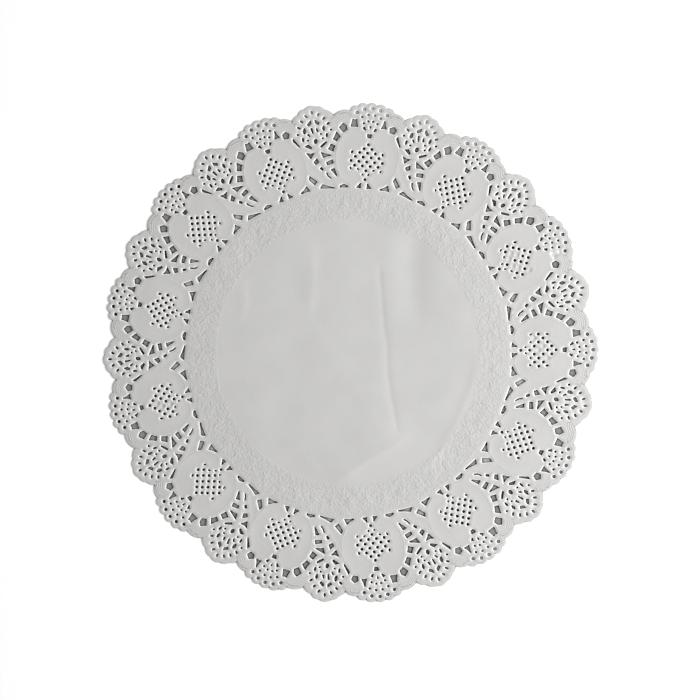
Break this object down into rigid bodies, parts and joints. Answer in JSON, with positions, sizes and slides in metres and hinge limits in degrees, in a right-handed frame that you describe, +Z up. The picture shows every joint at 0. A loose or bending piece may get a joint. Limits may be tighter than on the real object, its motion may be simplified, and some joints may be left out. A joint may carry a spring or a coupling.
{
  "type": "round paper doily",
  "caption": "Round white paper doily: a thin flat sheet with a plain middle, an embossed flower band and a punched lace border of hearts, fans and cones with a scalloped edge.",
  "frame": {"origin": "middle of the underside, where the plain centre lies on the table", "axes": "+Z up, out of the face side, +Y along the middle line of one heart motif, +X to its right seen from above"},
  "size_m": [0.2649, 0.2662, 0.002],
  "materials": {
    "paper": "matte uncoated white paper, finely embossed"
  },
  "bodies": {
    "root": {"doily_sheet": "paper"}
  },
  "joints": []
}
